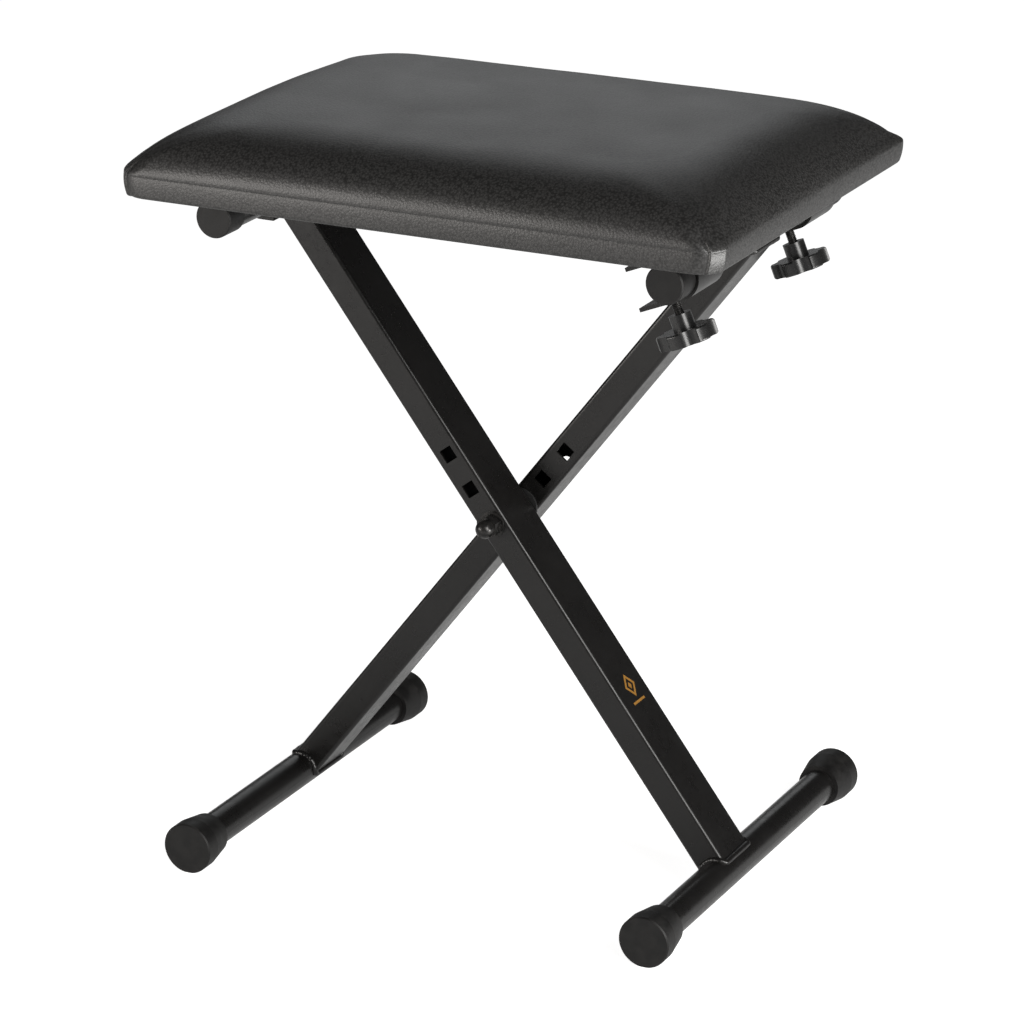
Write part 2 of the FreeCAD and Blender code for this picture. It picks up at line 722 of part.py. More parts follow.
def clamp_strap(node, back):
    """Strip bent round the right of the bar, with two level flanges that the stud draws together.

    Its own X runs along the flanges, from their tips towards the bend.
    """
    bend = cylinder(node + "_bend", STRAP_OUTSIDE, "strap_width",
                    Placement(Vector(), TO_BACK * Rotation(Z_AXIS, -90)))
    bend.Angle = 180
    hollow = cylinder(node + "_hollow", STRAP_INSIDE, "strap_width", Placement(Vector(), TO_BACK))
    lower = block(node + "_lower", ["-strap_flange", "0", "-%s" % STRAP_OUTSIDE],
                  ["strap_flange", "strap_width", "strap_thickness"])
    upper = block(node + "_upper", ["-strap_flange", "0", STRAP_INSIDE],
                  ["strap_flange", "strap_width", "strap_thickness"])
    hole = cylinder(node + "_hole", "stud_hole", "strap_width * 2")
    hole.setExpression("Placement.Base.x", linked("-stud_offset"))
    hole.setExpression("Placement.Base.y", linked("strap_width / 2"))
    hole.setExpression("Placement.Base.z", linked("-strap_width"))
    strip = fuse(node + "_strip", [bend, lower, upper])
    tool = fuse(node + "_tool", [hollow, hole])
    start = beside(RIGHT_TOP, "strap_centre", "strap_width", back)
    finish(cut(node + "_cut", strip, tool), node, Placement(start, STRAP_TILT))


def on_stud(height, back):
    """A point on a clamp screw's axis, at a height above the bar's axis along the screw."""
    side = 1 if back else -1
    offset = STRAP_TILT.multVec(Vector(-size("stud_offset"), 0, height))
    return RIGHT_TOP + offset + Y_AXIS * (side * size("strap_centre"))


def clamp_nut(node, back):
    """Hexagonal weld nut on the upper flange."""
    prism = hexagon(node + "_hex", "clamp_nut_flats", "clamp_nut_height")
    thread = cylinder(node + "_thread", "stud_radius + stud_play", "clamp_nut_height")
    finish(cut(node + "_ring", prism, thread), node,
           Placement(on_stud(STRAP_OUTER_RADIUS, back), STRAP_TILT * Rotation(Z_AXIS, 30)))


def clamp_stud(node, back):
    """Threaded stud from inside the knob, through both flanges and the weld nut."""
    above = STRAP_OUTSIDE + " + clamp_nut_height + stud_tip"
    below = STRAP_OUTSIDE + " + stud_showing + hub_length + knob_height - knob_floor"
    tip = STRAP_OUTER_RADIUS + size("clamp_nut_height") + size("stud_tip")
    stud = cylinder(node + "_rod", "stud_radius", "%s + %s" % (above, below))
    finish(stud, node, Placement(on_stud(tip, back), STRAP_TILT * Rotation(X_AXIS, 180)))


def knob(node, back):
    """Lobed knob on a round hub; its own Z runs from the hub's end down through the head."""
    body = new_body(node + "_body")
    head_plane = sketch_on(body, "XY_Plane", node + "_head", "hub_length")
    circle(head_plane, "knob_radius")
    head = pad(body, head_plane, "knob_height")
    doc.recompute()
    rims = ["Edge%d" % n for n, edge in enumerate(head.Shape.Edges, start=1)
            if isinstance(edge.Curve, Part.Circle)]
    fillet(body, head, rims, "knob_edge")
    scallop = sketch_on(body, "XY_Plane", node + "_scallop", "hub_length")
    circle(scallop, "knob_scallop", "knob_scallop_reach", "0")
    notch = pocket(body, scallop, "2 * knob_height", both_ways=True)
    ring = body.newObject("PartDesign::PolarPattern", node + "_scallops")
    ring.Originals = [notch]
    ring.Axis = (scallop, ["N_Axis"])
    ring.Angle = 360
    ring.Occurrences = LOBES
    body.Tip = ring
    doc.recompute()
    neck = sketch_on(body, "XY_Plane", node + "_hub")
    circle(neck, "hub_radius")
    pad(body, neck, "hub_length + knob_floor")
    well = sketch_on(body, "XY_Plane", node + "_well")
    circle(well, "stud_radius + stud_play")
    pocket(body, well, "hub_length + knob_height - knob_floor", backwards=True)
    top = -(STRAP_OUTER_RADIUS + size("stud_showing"))
    finish(body, node, Placement(on_stud(top, back), STRAP_TILT * Rotation(X_AXIS, 180)))


# ---------------------------------------------------------------- build

for front, leg_node, foot_x in ((False, "rear_leg", "left_foot_x"),
                                (True, "front_leg", "right_foot_x")):
    leg_tube(leg_node, foot_x, leg_place(front))
    leg_welds(leg_node + "_welds", foot_x, leg_place(front))
    sleeve(leg_node + "_sleeve", front)
for bar_name, kind, point in (("left_foot", "foot", LEFT_FOOT), ("right_foot", "foot", RIGHT_FOOT),
                              ("left_top", "top", LEFT_TOP), ("right_top", "top", RIGHT_TOP)):
    bar(bar_name + "_bar", point, kind + "_half_length")
    end_cap(bar_name + "_cap_front", kind, point, False)
    end_cap(bar_name + "_cap_back", kind, point, True)
pivot_fastening()
seat_pieces()
staples()
screws()
plate_holes = screw_holes()
for back, word in ((False, "front"), (True, "back")):
    hook("hook_bracket_" + word, back, plate_holes)
    clamp_plate("clamp_plate_" + word, back, plate_holes)
    clamp_strap("clamp_strap_" + word, back)
    clamp_nut("clamp_nut_" + word, back)
    clamp_stud("clamp_stud_" + word, back)
    knob("clamp_knob_" + word, back)
doc.recompute()

for thing in doc.Objects:
    if "Invalid" in thing.State or "Error" in thing.State:
        raise RuntimeError("%s failed: %s" % (thing.Name, thing.State))
for node, thing in subparts.items():
    if thing.Shape.isNull() or not thing.Shape.isValid() or not thing.Shape.Solids:
        raise RuntimeError("%s has no valid solid" % node)

os.makedirs("parts", exist_ok=True)
for node, thing in subparts.items():
    thing.Shape.exportStep("parts/%s.step" % node)
    box = thing.Shape.BoundBox
    print("%-24s %9.1f mm3  x %7.1f %7.1f  y %7.1f %7.1f  z %7.1f %7.1f" % (
        node, thing.Shape.Volume, box.XMin, box.XMax, box.YMin, box.YMax, box.ZMin, box.ZMax))
print("pivot %s left top %s right top %s" % (PIVOT, LEFT_TOP, RIGHT_TOP))
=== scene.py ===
"""Looks of a folding X-frame piano bench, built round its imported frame.

+Z is up, and +X is to the right as seen from the front. The bench's own sizes are written in
millimetres and go through mm(); those of the camera, the lights and the floor are in metres.
"""
import json
import math

import bmesh
import bpy
import numpy as np
from mathutils import Matrix, Vector, noise


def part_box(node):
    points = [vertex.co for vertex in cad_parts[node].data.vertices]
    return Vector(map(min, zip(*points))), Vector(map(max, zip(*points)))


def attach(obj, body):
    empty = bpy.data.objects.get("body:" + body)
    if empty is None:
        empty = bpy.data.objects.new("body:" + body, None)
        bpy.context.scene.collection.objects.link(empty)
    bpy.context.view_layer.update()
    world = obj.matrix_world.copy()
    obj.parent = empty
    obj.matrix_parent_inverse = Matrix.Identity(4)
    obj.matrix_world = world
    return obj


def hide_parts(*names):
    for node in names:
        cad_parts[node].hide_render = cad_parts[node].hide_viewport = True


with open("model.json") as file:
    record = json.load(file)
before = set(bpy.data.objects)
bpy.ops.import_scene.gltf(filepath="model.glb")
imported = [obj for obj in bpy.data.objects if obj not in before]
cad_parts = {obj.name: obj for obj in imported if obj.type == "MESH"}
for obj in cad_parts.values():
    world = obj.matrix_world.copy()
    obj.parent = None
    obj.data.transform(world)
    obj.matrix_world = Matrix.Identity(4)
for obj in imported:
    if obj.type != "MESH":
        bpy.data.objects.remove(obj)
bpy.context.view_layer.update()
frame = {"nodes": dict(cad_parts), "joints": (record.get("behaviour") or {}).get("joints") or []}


def mm(value):
    """Millimetres to metres."""
    return value / 1000.0


# ---------------------------------------------------------------------------------- camera
CAMERA_AZIMUTH = math.radians(26.46)
CAMERA_ELEVATION = math.radians(19.17)
CAMERA_DISTANCE = 2.91422
CAMERA_LENS = 160.56
CAMERA_SENSOR = 36.0
CAMERA_CLIP_END = 60.0
CAMERA_TARGET_HEIGHT = 0.22837
CAMERA_TARGET_RIGHT = -0.01166
CAMERA_SHIFT = (0.01186, -0.00861)


def direction(azimuth, elevation):
    """Unit vector towards a compass angle (0 is -Y, 90 degrees is +X) and a height angle."""
    return Vector((math.sin(azimuth) * math.cos(elevation),
                   -math.cos(azimuth) * math.cos(elevation), math.sin(elevation)))


def make_camera():
    """A long lens at the azimuth and elevation given above, looking at the bench without roll."""
    back = direction(CAMERA_AZIMUTH, CAMERA_ELEVATION)
    right = Vector((math.cos(CAMERA_AZIMUTH), math.sin(CAMERA_AZIMUTH), 0.0))
    upward = back.cross(right)
    data = bpy.data.cameras.new("camera")
    data.lens = CAMERA_LENS
    data.sensor_width = CAMERA_SENSOR
    data.shift_x, data.shift_y = CAMERA_SHIFT
    data.clip_end = CAMERA_CLIP_END
    camera = bpy.data.objects.new("camera", data)
    target = Vector((0.0, 0.0, CAMERA_TARGET_HEIGHT)) + right * CAMERA_TARGET_RIGHT
    turn = Matrix((right, upward, back)).transposed().to_4x4()
    camera.matrix_world = Matrix.Translation(target + back * CAMERA_DISTANCE) @ turn
    bpy.context.scene.collection.objects.link(camera)
    bpy.context.scene.camera = camera


# --------------------------------------------------------------------------------- lighting
LIGHT_TARGET = Vector((0.0, 0.0, 0.28))
# name: (azimuth, elevation, distance, width, height, brightness, colour), in degrees and metres.
# The key lights the right side and the tubes' edges, the strip runs along the front of the seat,
# the low box lights the near corner's flap, and the back box gives the seat's top its sheen.
LIGHTS = {
    "key_box": (60.0, 22.0, 2.6, 1.1, 1.7, 13.0, (1.0, 0.99, 0.97)),
    "front_strip": (-38.0, 8.0, 1.6, 1.1, 0.33, 13.0, (1.0, 0.96, 0.92)),
    "low_right": (85.0, -6.5, 1.0, 0.26, 0.20, 42.0, (1.0, 0.99, 0.97)),
    "back_box": (206.0, 22.0, 3.0, 1.4, 1.2, 0.98, (0.97, 0.99, 1.0)),
}
WORLD_GREY = 0.06
# How strongly the floor glows for the camera, and for the light that it throws on the bench.
FLOOR_GLOW = 0.86
FLOOR_BOUNCE = 0.30
FLOOR_GREY = 0.60
FLOOR_CLOUD = 1.03
FLOOR_RADIUS = 12.0
FLOOR_SIDES = 64


def make_light(name, azimuth, elevation, distance, width, height, brightness, colour):
    """A soft box that faces the object; its power goes with its area and its brightness."""
    data = bpy.data.lights.new(name, "AREA")
    data.shape = "RECTANGLE"
    data.size, data.size_y = width, height
    data.energy = brightness * math.pi * width * height
    data.color = colour
    light = bpy.data.objects.new(name, data)
    away = direction(math.radians(azimuth), math.radians(elevation))
    light.location = LIGHT_TARGET + away * distance
    light.rotation_euler = away.to_track_quat("Z", "Y").to_euler()
    light.visible_camera = False
    bpy.context.scene.collection.objects.link(light)


def make_world():
    """Dim grey surroundings that the camera itself sees as white."""
    world = bpy.data.worlds.new("studio")
    world.use_nodes = True
    tree = world.node_tree
    ambient = tree.nodes["Background"]
    ambient.inputs["Color"].default_value = (WORLD_GREY, WORLD_GREY, WORLD_GREY, 1.0)
    white = tree.nodes.new("ShaderNodeBackground")
    white.inputs["Color"].default_value = (1.0, 1.0, 1.0, 1.0)
    path = tree.nodes.new("ShaderNodeLightPath")
    choice = tree.nodes.new("ShaderNodeMixShader")
    tree.links.new(path.outputs["Is Camera Ray"], choice.inputs[0])
    tree.links.new(ambient.outputs[0], choice.inputs[1])
    tree.links.new(white.outputs[0], choice.inputs[2])
    tree.links.new(choice.outputs[0], tree.nodes["World Output"].inputs["Surface"])
    bpy.context.scene.world = world


def make_floor():
    """A pale floor that glows for the camera, so that its shadows stay faint."""
    mesh = bpy.data.meshes.new("floor")
    form = bmesh.new()
    bmesh.ops.create_circle(form, cap_ends=True, radius=FLOOR_RADIUS, segments=FLOOR_SIDES)
    form.to_mesh(mesh)
    form.free()
    floor = bpy.data.objects.new("floor", mesh)
    bpy.context.scene.collection.objects.link(floor)
    finish = Finish("floor_paper", roughness=0.9, specular=0.1)
    finish.colour(finish.noise(mm(900)), (FLOOR_GREY,) * 3,
                  (FLOOR_GREY * FLOOR_CLOUD,) * 3)
    finish.set("Emission Color", (1.0, 1.0, 1.0, 1.0))
    path = finish.node("ShaderNodeLightPath")
    glow = finish.spread(path.outputs["Is Camera Ray"], 0.0, 1.0, FLOOR_BOUNCE, FLOOR_GLOW)
    finish.paint("Emission Strength", glow)
    mesh.materials.append(finish.material)


# -------------------------------------------------------------------------------- materials
class Finish:
    """A Principled material whose colour, roughness and relief come from solid noise."""

    def __init__(self, name, roughness, metallic=0.0, specular=0.5):
        self.material = bpy.data.materials.new(name)
        self.material.use_nodes = True
        self.tree = self.material.node_tree
        self.shader = self.tree.nodes["Principled BSDF"]
        self.place = self.tree.nodes.new("ShaderNodeTexCoord").outputs["Object"]
        self.set("Roughness", roughness)
        self.set("Metallic", metallic)
        self.set("Specular IOR Level", specular)

    def set(self, socket, value):
        """Sets one of the shader's own sockets to a constant."""
        self.shader.inputs[socket].default_value = value

    def node(self, kind, links=(), **values):
        """Adds a node with its links, as socket to source, and its constant sockets."""
        made = self.tree.nodes.new(kind)
        for socket, value in values.items():
            made.inputs[socket].default_value = value
        for socket, source in dict(links).items():
            self.tree.links.new(source, made.inputs[socket])
        return made

    def stretched(self, x, y, z):
        """The place, scaled by x, y and z, for marks that run one way."""
        return self.node("ShaderNodeMapping", {"Vector": self.place},
                         Scale=(x, y, z)).outputs["Vector"]

    def noise(self, spot, detail=2.0, place=None):
        """Cloudy noise whose spots are about that many metres across."""
        return self.node("ShaderNodeTexNoise", {"Vector": place or self.place},
                         Scale=1.0 / spot, Detail=detail).outputs["Fac"]

    def cells(self, spot, place=None):
        """Distance inside irregular cells about that many metres across."""
        return self.node("ShaderNodeTexVoronoi", {"Vector": place or self.place},
                         Scale=1.0 / spot).outputs["Distance"]

    def spread(self, source, low, high, start=0.0, end=1.0):
        """A value from start to end as the source goes from low to high."""
        made = self.node("ShaderNodeMapRange", {"Value": source})
        for socket, value in (("From Min", low), ("From Max", high),
                              ("To Min", start), ("To Max", end)):
            made.inputs[socket].default_value = value
        return made.outputs["Result"]

    def combine(self, first, second, operation):
        """Two values added (ADD) or multiplied (MULTIPLY)."""
        made = self.node("ShaderNodeMath", {0: first, 1: second})
        made.operation = operation
        return made.outputs[0]

    def blend(self, mask, low, high):
        """A colour between two colours or colour sources."""
        made = self.node("ShaderNodeMix")
        made.data_type = "RGBA"
        self.tree.links.new(mask, made.inputs["Factor"])
        for socket, value in ((6, low), (7, high)):
            if isinstance(value, tuple):
                made.inputs[socket].default_value = (*value, 1.0)
            else:
                self.tree.links.new(value, made.inputs[socket])
        return made.outputs[2]

    def paint(self, socket, source):
        """Links a source to one of the shader's own sockets."""
        self.tree.links.new(source, self.shader.inputs[socket])

    def colour(self, mask, low, high):
        """Paints the base colour with a blend."""
        self.paint("Base Color", self.blend(mask, low, high))

    def relief(self, *layers):
        """Bumps stacked in order; each layer is a height source, a height and a strength."""
        normal = None
        for source, height, strength in layers:
            bump = self.node("ShaderNodeBump", {"Height": source},
                             Strength=strength, Distance=height)
            if normal is not None:
                self.tree.links.new(normal, bump.inputs["Normal"])
            normal = bump.outputs["Normal"]
        self.paint("Normal", normal)


def frame_paint():
    """Black powder coat: satin, with orange peel, fine pinholes and faint handling marks."""
    finish = Finish("frame_paint", roughness=0.3, specular=0.36)
    rubbed = finish.noise(mm(34), detail=5.0)
    finish.colour(rubbed, (0.0035, 0.0033, 0.0032), (0.0065, 0.0061, 0.0058))
    dust = finish.noise(mm(5), detail=6.0)
    worn = finish.combine(rubbed, dust, "ADD")
    finish.paint("Roughness", finish.spread(worn, 0.7, 1.3, 0.24, 0.37))
    peel = finish.noise(mm(1.6), detail=1.0)
    pinholes = finish.spread(finish.cells(mm(2.6)), 0.0, 0.16)
    finish.relief((finish.noise(mm(14), detail=1.0), mm(0.10), 0.35),
                  (peel, mm(0.05), 0.45), (pinholes, mm(0.02), 0.3))
    return finish.material


def cap_rubber():
    """Moulded black rubber: matt, with a fine mottle and patches of pale dust."""
    finish = Finish("cap_rubber", roughness=0.48, specular=0.26)
    dusty = finish.noise(mm(9), detail=6.0)
    finish.colour(finish.spread(dusty, 0.42, 0.72), (0.0045, 0.0043, 0.0042),
                  (0.0105, 0.010, 0.0096))
    finish.paint("Roughness", finish.spread(dusty, 0.3, 0.7, 0.42, 0.62))
    finish.relief((finish.noise(mm(0.7), detail=2.0), mm(0.03), 0.5),
                  (finish.noise(mm(6), detail=1.0), mm(0.05), 0.3))
    return finish.material


def knob_plastic():
    """Glossy moulded plastic with faint flow marks and fine scratches."""
    finish = Finish("knob_plastic", roughness=0.2, specular=0.5)
    scratches = finish.noise(mm(1.5), detail=3.0, place=finish.stretched(1.0, 1.0, 9.0))
    finish.colour(scratches, (0.006, 0.006, 0.006), (0.011, 0.011, 0.011))
    finish.paint("Roughness", finish.spread(scratches, 0.3, 0.7, 0.22, 0.34))
    finish.relief((finish.noise(mm(4), detail=1.0), mm(0.05), 0.3), (scratches, mm(0.008), 0.3))
    return finish.material


def leatherette():
    """Black coated cloth: pebble grain with fine creases, painted shade in them, and a soft satin
    shine.
    """
    finish = Finish("leatherette", roughness=0.42, specular=0.5)
    swirl = finish.node("ShaderNodeTexNoise", {"Vector": finish.place}, Scale=1.0 / mm(3.0))
    small = finish.node("ShaderNodeVectorMath", {0: swirl.outputs["Color"]})
    small.operation = "MULTIPLY"
    small.inputs[1].default_value = (mm(0.9),) * 3
    warped = finish.node("ShaderNodeVectorMath", {0: finish.place, 1: small.outputs[0]})
    pebble = finish.cells(mm(1.5), place=warped.outputs[0])
    pebble_tops_and_painted_shade = finish.spread(pebble, 0.25, 0.75, 1.0, 0.0)
    fine = finish.noise(mm(0.6), detail=2.0)
    cloud = finish.noise(mm(60), detail=3.0)
    # Painted shade: the colour is lighter on the raised pebbles and darker in the creases between
    # them.
    finish.colour(pebble_tops_and_painted_shade, (0.010, 0.0097, 0.0094), (0.029, 0.0284, 0.0278))
    shine = finish.combine(cloud, fine, "ADD")
    finish.paint("Roughness", finish.spread(shine, 0.6, 1.4, 0.37, 0.47))
    finish.relief((finish.noise(mm(22), detail=2.0), mm(0.15), 0.3),
                  (pebble_tops_and_painted_shade, mm(0.12), 0.5), (fine, mm(0.04), 0.5))
    return finish.material


def lining_cloth():
    """Black spun-bonded cloth: thin, matt and fibrous, with a point-bond dimple pattern."""
    finish = Finish("lining_cloth", roughness=0.85, specular=0.2)
    fibres = finish.noise(mm(0.9), detail=6.0, place=finish.stretched(1.0, 3.0, 1.0))
    crossing = finish.noise(mm(0.9), detail=6.0, place=finish.stretched(3.0, 1.0, 1.0))
    felt = finish.combine(fibres, crossing, "MULTIPLY")
    finish.colour(finish.spread(felt, 0.1, 0.45), (0.010, 0.010, 0.011), (0.045, 0.045, 0.047))
    finish.relief((felt, mm(0.15), 0.6), (finish.cells(mm(1.4)), mm(0.08), 0.5))
    return finish.material


def plywood():
    """Sanded poplar ply: long grain along the board with darker streaks and pores."""
    finish = Finish("plywood", roughness=0.7, specular=0.3)
    along = finish.stretched(0.08, 1.0, 1.0)
    rings = finish.noise(mm(6), detail=6.0, place=along)
    pores = finish.noise(mm(0.8), detail=3.0, place=finish.stretched(0.05, 1.0, 1.0))
    grain = finish.blend(rings, (0.42, 0.28, 0.15), (0.66, 0.49, 0.30))
    dark = finish.spread(pores, 0.56, 0.7)
    finish.paint("Base Color", finish.blend(dark, grain, (0.25, 0.15, 0.08)))
    finish.relief((pores, mm(0.1), 0.5), (rings, mm(0.15), 0.3))
    return finish.material


def zinc_steel():
    """Bright zinc plating: fine turning marks, a cloudy passivate and slight tarnish."""
    finish = Finish("zinc_steel", roughness=0.28, metallic=1.0)
    cloudy = finish.noise(mm(3.5), detail=5.0)
    finish.colour(cloudy, (0.50, 0.50, 0.49), (0.74, 0.73, 0.70))
    marks = finish.noise(mm(0.5), detail=2.0, place=finish.stretched(1.0, 1.0, 6.0))
    dull = finish.combine(cloudy, marks, "ADD")
    finish.paint("Roughness", finish.spread(dull, 0.6, 1.4, 0.2, 0.42))
    finish.relief((marks, mm(0.012), 0.4), (cloudy, mm(0.02), 0.2))
    return finish.material


def black_hardware():
    """Black plated steel: dark, half glossy and cloudy, with a hint of bare metal."""
    finish = Finish("black_hardware", roughness=0.28, metallic=0.6)
    cloudy = finish.noise(mm(4), detail=6.0)
    finish.colour(finish.spread(cloudy, 0.35, 0.75), (0.010, 0.010, 0.010),
                  (0.040, 0.038, 0.036))
    finish.paint("Roughness", finish.spread(cloudy, 0.3, 0.7, 0.2, 0.38))
    finish.relief((finish.noise(mm(0.8), detail=2.0), mm(0.02), 0.4))
    return finish.material


def nylon():
    """Black nylon, half matt and slightly mottled, with fine machining marks."""
    finish = Finish("nylon", roughness=0.45, specular=0.4)
    mottle = finish.noise(mm(3), detail=4.0)
    finish.colour(mottle, (0.008, 0.008, 0.008), (0.017, 0.017, 0.017))
    finish.paint("Roughness", finish.spread(mottle, 0.3, 0.7, 0.38, 0.52))
    finish.relief((finish.noise(mm(0.5), detail=2.0), mm(0.02), 0.4))
    return finish.material


def foam():
    """Grey polyurethane foam: open cells of two sizes, with painted shade in the cells' hollows.
    """
    finish = Finish("foam", roughness=0.95, specular=0.1)
    cell_hollows_and_painted_shade = finish.cells(mm(1.0))
    # Painted shade: the colour is darker in the middle of each small cell, where the relief sinks,
    # and lighter at its walls.
    finish.colour(cell_hollows_and_painted_shade, (0.10, 0.10, 0.11), (0.32, 0.32, 0.33))
    finish.relief((cell_hollows_and_painted_shade, mm(0.4), 0.8), (finish.cells(mm(2.2)), mm(0.5), 0.5))
    return finish.material


def gold_print():
    """Gold printing ink: partly metallic, and a little uneven in colour and shine."""
    finish = Finish("gold_print", roughness=0.4, metallic=0.7)
    uneven = finish.noise(mm(0.8), detail=4.0)
    finish.colour(uneven, (0.42, 0.19, 0.035), (0.62, 0.32, 0.07))
    finish.paint("Roughness", finish.spread(uneven, 0.3, 0.7, 0.32, 0.5))
    finish.relief((uneven, mm(0.01), 0.4))
    return finish.material


SLOTS = {make.__name__: make() for make in (
    frame_paint, cap_rubber, knob_plastic, leatherette, lining_cloth, plywood, zinc_steel,
    black_hardware, nylon, foam)}


def dress_cad_nodes():
    """Gives each CAD node the finish that its material slot names."""
    for node in frame["nodes"].values():
        for place in node.material_slots:
            place.material = SLOTS[place.material.name]


# ----------------------------------------------------------------------------- mesh helpers
def new_piece(name, verts, faces, material, smooth=True):
    """An object made of those points and faces, with its normals outwards."""
    mesh = bpy.data.meshes.new(name)
    mesh.from_pydata([tuple(v) for v in verts], [], [tuple(f) for f in faces])
    mesh.validate()
    mesh.materials.append(material)
    form = bmesh.new()
    form.from_mesh(mesh)
    bmesh.ops.recalc_face_normals(form, faces=form.faces)
    for face in form.faces:
        face.smooth = smooth
    form.to_mesh(mesh)
    form.free()
    piece = bpy.data.objects.new(name, mesh)
    bpy.context.scene.collection.objects.link(piece)
    return piece


def bridge(count, size, closed):
    """Faces between count rings of size points each; closed joins the last ring to the first."""
    last = count if closed else count - 1
    faces = []
    for row in range(last):
        low, high = row * size, (row + 1) % count * size
        for n in range(size):
            after = (n + 1) % size
            faces.append((low + n, low + after, high + after, high + n))
    return faces


def subdivide(piece):
    """Smooths a piece with one level of subdivision."""
    modifier = piece.modifiers.new("subdivision", "SUBSURF")
    modifier.levels = modifier.render_levels = 1


def frame_joint(name):
    """The record's joint of that name."""
    return next(joint for joint in frame["joints"] if joint["name"] == name)


# ---------------------------------------------------------------------------------- cushion
BOARD_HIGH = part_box("seat_board")[1]
COVER_THICKNESS = mm(1.0)
SEAT_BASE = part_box("dust_cover")[0].z
SEAT_HALF = (BOARD_HIGH.x + COVER_THICKNESS, BOARD_HIGH.y + COVER_THICKNESS)
BAND_HEIGHT = BOARD_HIGH.z + COVER_THICKNESS - SEAT_BASE
# How far the cover is turned in under the board, how far its edge bulges there, and how far its
# hidden inside lies from its outside.
HEM_INSET = mm(24.0)
HEM_LAP = mm(0.15)
HEM_INSIDE = COVER_THICKNESS * 1.2
CORNER_BASE = mm(16.5)
CORNER_TOP = mm(38.0)
CROWN_REACH = mm(58.0)
# Control points of the crown's section, inset and height in millimetres: upright at the front, and
# slacker at the sides. The back has the front's insets and the sides' heights.
FRONT_SECTION = ((0.0, 0.0), (0.6, 18.0), (15.0, 29.8), (58.0, 31.5))
SIDE_SECTION = ((-1.65, 0.0), (-0.9, 10.0), (22.0, 29.8), (58.0, 31.5))
# How far the crown starts above the band, its rise in the middle, its fall to the back and to the
# corners, and how far each reaches. The rise sets in at DOME_FROM above the band, and the falls
# over DROP_FADE above it.
CROWN_START = mm(0.8)
DOME_RISE = mm(1.8)
DOME_FROM = mm(20.0)
BACK_DROP = mm(2.8)
BACK_DROP_REACH = mm(120.0)
CORNER_DROP = mm(4.0)
CORNER_DROP_REACH = mm(38.0)
DROP_FADE = mm(10.0)
# Steps round half a corner and along a long and a short side, and the crown's rings.
ARC_STEPS = 24
LONG_STEPS = 56
SHORT_STEPS = 42
CROWN_RINGS = 40
# Radius and steps of the roll at the board's lower edge.
HEM_ROLL = mm(2.5)
HEM_ROLL_STEPS = 6
# Side inset, front inset and height of the band's rings, in millimetres. The front ends in a faint
# crease, and the sides swell straight on into the crown.
BAND_SECTION = ((-0.85, -0.15, 5.2), (-1.35, -0.2, 8.0), (-1.63, -0.1, 10.6), (-1.72, 0.05, 12.4),
                (-1.73, 0.16, 13.3), (-1.72, 0.34, 13.8), (-1.71, 0.34, 14.1), (-1.69, 0.14, 14.5))


def seat_ring(inset_side, inset_front, corner):
    """A rounded rectangle in plan, anticlockwise from the middle of the front-left corner.

    Returns its points and, for each, its turn in radians from a front or back edge (0) round to a
    side edge (a quarter turn).
    """
    points, angles = [], []
    insets = (inset_side, inset_front)
    theta = np.linspace(math.pi / 4, 0.0, ARC_STEPS + 1)
    for side in range(4):
        along = SEAT_HALF[side % 2] - insets[side % 2]
        out = SEAT_HALF[1 - side % 2] - insets[1 - side % 2]
        steps = (LONG_STEPS, SHORT_STEPS)[side % 2]
        straight = np.linspace(-(along - corner), along - corner, steps + 1)[1:-1]
        arc = np.c_[(along - corner) + corner * np.sin(theta),
                    (out - corner) + corner * np.cos(theta)]
        local = np.r_[arc * (-1, 1), np.c_[straight, np.full(len(straight), out)], arc[::-1]]
        lean = np.r_[theta, np.zeros(len(straight)), theta[::-1]]
        angle = math.pi / 2 * (side - 1)
        normal = np.array((math.cos(angle), math.sin(angle)))
        tangent = np.array((-math.sin(angle), math.cos(angle)))
        world = local[:, :1] * tangent + local[:, 1:] * normal
        points.append(world[:-1])
        angles.append(math.pi / 2 - lean[:-1] if side % 2 else lean[:-1])
    return np.concatenate(points), np.concatenate(angles)


def bezier(section, share):
    """A point on a section curve, as inset and height in metres."""
    rest = 1 - share
    weights = (rest ** 3, 3 * share * rest ** 2, 3 * share ** 2 * rest, share ** 3)
    return [mm(sum(w * point[axis] for w, point in zip(weights, section))) for axis in (0, 1)]


def cushion_profile():
    """Each ring's side inset, front inset, corner radius, side height and front height.

    The rings run from the hidden inside of the hem, under the board and up to the top.
    """
    skin = COVER_THICKNESS
    # Inset, corner radius and height of each ring up to the top of the roll.
    path = [(HEM_INSIDE, CORNER_BASE, BAND_HEIGHT - skin), (HEM_INSIDE, CORNER_BASE, skin),
            (HEM_INSET, mm(4.0), skin * 0.95), (HEM_INSET + HEM_LAP, mm(4.0), skin * 0.5),
            (HEM_INSET, mm(4.0), 0.0), (mm(16.0), mm(8.0), 0.0), (mm(8.0), mm(12.0), 0.0)]
    for n in range(HEM_ROLL_STEPS + 1):
        angle = math.pi / 2 * n / HEM_ROLL_STEPS
        path.append((HEM_ROLL * (1 - math.sin(angle)), CORNER_BASE,
                     HEM_ROLL * (1 - math.cos(angle))))
    rings = [(inset, inset, corner, height, height) for inset, corner, height in path]
    for side_inset, front_inset, height in BAND_SECTION:
        rings.append((mm(side_inset), mm(front_inset), CORNER_BASE, mm(height), mm(height)))
    for n in range(1, CROWN_RINGS + 1):
        share = n / CROWN_RINGS
        side_inset, side_height = bezier(SIDE_SECTION, share)
        front_inset, front_height = bezier(FRONT_SECTION, share)
        corner = CORNER_BASE + (CORNER_TOP - CORNER_BASE) * share
        base = BAND_HEIGHT + CROWN_START * (1 - share)
        rings.append((side_inset, front_inset, corner, base + side_height, base + front_height))
    return rings


